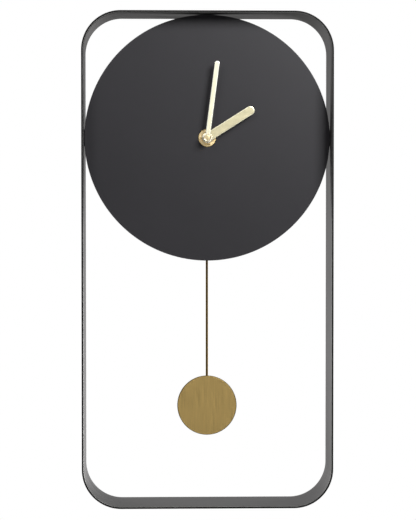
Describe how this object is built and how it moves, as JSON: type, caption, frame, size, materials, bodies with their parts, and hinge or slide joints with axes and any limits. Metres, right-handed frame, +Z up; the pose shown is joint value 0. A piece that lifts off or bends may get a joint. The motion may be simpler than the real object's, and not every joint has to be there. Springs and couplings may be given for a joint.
{
  "type": "pendulum wall clock",
  "caption": "Wall clock with a round numeral-free dial held in a rounded rectangular metal band, straight round-ended hands and a disc pendulum hanging from a battery movement behind the dial.",
  "frame": {"origin": "the point of the hanger plate's keyhole that the wall screw carries, on the wall plane", "axes": "+Z up, -Y out of the wall into the room, +X to the right as seen from the room"},
  "size_m": [0.243, 0.06, 0.48],
  "materials": {
    "band_steel": "dark gunmetal, brushed along the band",
    "dial_black": "matte charcoal",
    "hand_gold": "pale gold, fine brushed",
    "hub_gold": "polished gold",
    "brass_brushed": "brushed brass",
    "brass_dark": "darkened brass wire",
    "steel": "plain",
    "plastic_black": "fine texture",
    "plastic_white": "smooth",
    "rubber_black": "matte",
    "copper_wire": "enamelled copper",
    "magnet_grey": "sintered",
    "board_green": "solder resist",
    "cell_jacket": "printed sleeve with no text"
  },
  "bodies": {
    "frame": {"frame_band": "band_steel", "hanger_plate": "steel", "dial_disc": "dial_black", "dial_lug_right": "band_steel", "dial_lug_top": "band_steel", "dial_lug_left": "band_steel", "centre_bush": "hub_gold", "sealing_gasket": "rubber_black", "fixing_washer": "hub_gold", "fixing_nut": "hub_gold", "movement_case": "plastic_black", "movement_cover": "plastic_black", "cover_screw_1": "steel", "cover_screw_2": "steel", "cover_screw_3": "steel", "cover_screw_4": "steel", "train_bridge": "plastic_white", "bridge_screw_1": "steel", "bridge_screw_2": "steel", "bridge_screw_3": "steel", "stator": "steel", "coil_core": "steel", "coil_bobbin": "plastic_white", "coil_winding": "copper_wire", "circuit_board": "board_green", "quartz_can": "steel", "chip_blob": "plastic_black", "contact_negative": "steel", "contact_positive": "steel", "pivot_pin": "steel", "drive_spool": "plastic_white", "drive_winding": "copper_wire"},
    "minute_hand_body": {"cannon_pinion": "plastic_white", "minute_hand": "hand_gold", "minute_hand_cap": "hub_gold"},
    "hour_hand_body": {"hour_wheel": "plastic_white", "hour_hand": "hand_gold", "hour_hand_collet": "hub_gold"},
    "minute_wheel_body": {"minute_wheel": "plastic_white"},
    "setting_knob_body": {"setting_knob": "plastic_black"},
    "rotor_body": {"rotor_pinion": "plastic_white", "rotor_magnet": "magnet_grey"},
    "fifth_wheel_body": {"fifth_wheel": "plastic_white"},
    "seconds_wheel_body": {"seconds_wheel": "plastic_white"},
    "third_wheel_body": {"third_wheel": "plastic_white"},
    "centre_wheel_body": {"centre_wheel": "plastic_white"},
    "pendulum": {"pendulum_arm": "plastic_white", "drive_magnet": "magnet_grey", "pendulum_rod": "brass_dark", "bob_disc": "brass_brushed", "rod_clip": "brass_brushed"},
    "cell": {"dry_cell": "cell_jacket"}
  },
  "joints": [
    {"name": "minute_hand_turn", "type": "hinge", "parent": "frame", "child": "minute_hand_body", "pos_m": [0, -0.05, -0.1075], "axis": [0, 1, 0], "continuous": true},
    {"name": "hour_hand_turn", "type": "hinge", "parent": "frame", "child": "hour_hand_body", "pos_m": [0, -0.047, -0.1075], "axis": [0, 1, 0], "continuous": true},
    {"name": "minute_wheel_turn", "type": "hinge", "parent": "frame", "child": "minute_wheel_body", "pos_m": [0.0096, -0.035, -0.1075], "axis": [0, 1, 0], "continuous": true},
    {"name": "setting_knob_turn", "type": "hinge", "parent": "frame", "child": "setting_knob_body", "pos_m": [0.01791, -0.018, -0.1027], "axis": [0, 1, 0], "continuous": true},
    {"name": "rotor_turn", "type": "hinge", "parent": "frame", "child": "rotor_body", "pos_m": [0.00608, -0.03, -0.08959], "axis": [0, 1, 0], "continuous": true},
    {"name": "fifth_wheel_turn", "type": "hinge", "parent": "frame", "child": "fifth_wheel_body", "pos_m": [0.00188, -0.03, -0.09686], "axis": [0, 1, 0], "continuous": true},
    {"name": "seconds_wheel_turn", "type": "hinge", "parent": "frame", "child": "seconds_wheel_body", "pos_m": [0, -0.03, -0.1075], "axis": [0, 1, 0], "continuous": true},
    {"name": "third_wheel_turn", "type": "hinge", "parent": "frame", "child": "third_wheel_body", "pos_m": [-0.00883, -0.03, -0.1024], "axis": [0, 1, 0], "continuous": true},
    {"name": "centre_wheel_turn", "type": "hinge", "parent": "frame", "child": "centre_wheel_body", "pos_m": [0, -0.033, -0.1075], "axis": [0, 1, 0], "continuous": true},
    {"name": "pendulum_swing", "type": "hinge", "parent": "frame", "child": "pendulum", "pos_m": [0, -0.03, -0.141], "axis": [0, 1, 0], "range_deg": [-10, 10]},
    {"name": "cell_slide", "type": "slide", "parent": "frame", "child": "cell", "axis": [0, 1, 0], "range_m": [0, 0.02]}
  ],
  "couplings": [
    {"joint": "hour_hand_turn", "follows": "minute_hand_turn", "ratio": 0.083333},
    {"joint": "minute_wheel_turn", "follows": "minute_hand_turn", "ratio": -0.33333},
    {"joint": "setting_knob_turn", "follows": "minute_hand_turn", "ratio": 1},
    {"joint": "fifth_wheel_turn", "follows": "rotor_turn", "ratio": -0.16667},
    {"joint": "seconds_wheel_turn", "follows": "rotor_turn", "ratio": 0.033333},
    {"joint": "third_wheel_turn", "follows": "rotor_turn", "ratio": -0.0044444},
    {"joint": "centre_wheel_turn", "follows": "rotor_turn", "ratio": 0.00055556}
  ]
}
